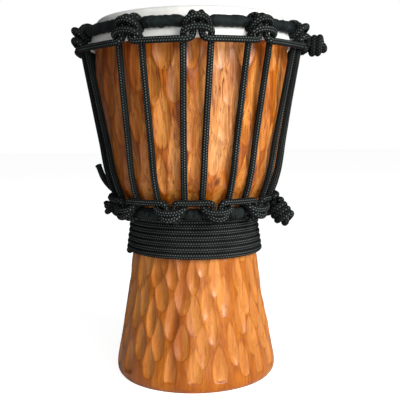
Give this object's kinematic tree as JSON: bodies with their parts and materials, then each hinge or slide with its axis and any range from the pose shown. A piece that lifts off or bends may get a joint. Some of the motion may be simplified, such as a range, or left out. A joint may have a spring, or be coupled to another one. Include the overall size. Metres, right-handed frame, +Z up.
{
  "type": "djembe",
  "caption": "Small goblet drum with a carved wooden shell, skin head, cloth-wrapped rings and rope lacing drawn up between them.",
  "frame": {"origin": "middle of the foot's resting face, on the drum's axis", "axes": "+Z up along the drum's axis towards the head; -Y is the front; +X is the side that carries the two rope knots"},
  "size_m": [0.213, 0.2003, 0.3018],
  "materials": {
    "shell_wood": "glossy varnish over hand-carved, honey to red-brown wood",
    "goatskin": "matt, bleached off-white hide",
    "ring_steel": "plain welded rod",
    "ring_cloth": "black cloth strip wound tight",
    "rope": "black braided rope with rows of grey flecks"
  },
  "bodies": {
    "drum": {"shell": "shell_wood", "skin_collar": "goatskin", "vertical_rope": "rope", "lower_ring": "ring_steel", "lower_ring_wrap": "ring_cloth", "lower_loop_rope": "rope", "lower_loop_knot": "rope", "waist_wrap": "rope"},
    "hoop": {"flesh_ring": "ring_steel", "crown_ring": "ring_steel", "crown_ring_wrap": "ring_cloth", "crown_loop_rope": "rope", "crown_loop_knot": "rope"},
    "head": {"playing_area": "goatskin"}
  },
  "joints": [
    {"name": "head_tuning", "type": "slide", "parent": "drum", "child": "hoop", "axis": [0, 0, -1], "range_m": [-0.003, 0.005], "stiffness_N_per_m": 20000, "deforming": ["vertical_rope", "skin_collar"]},
    {"name": "head_strike", "type": "slide", "parent": "drum", "child": "head", "axis": [0, 0, -1], "range_m": [0, 0.002], "stiffness_N_per_m": 3000}
  ]
}
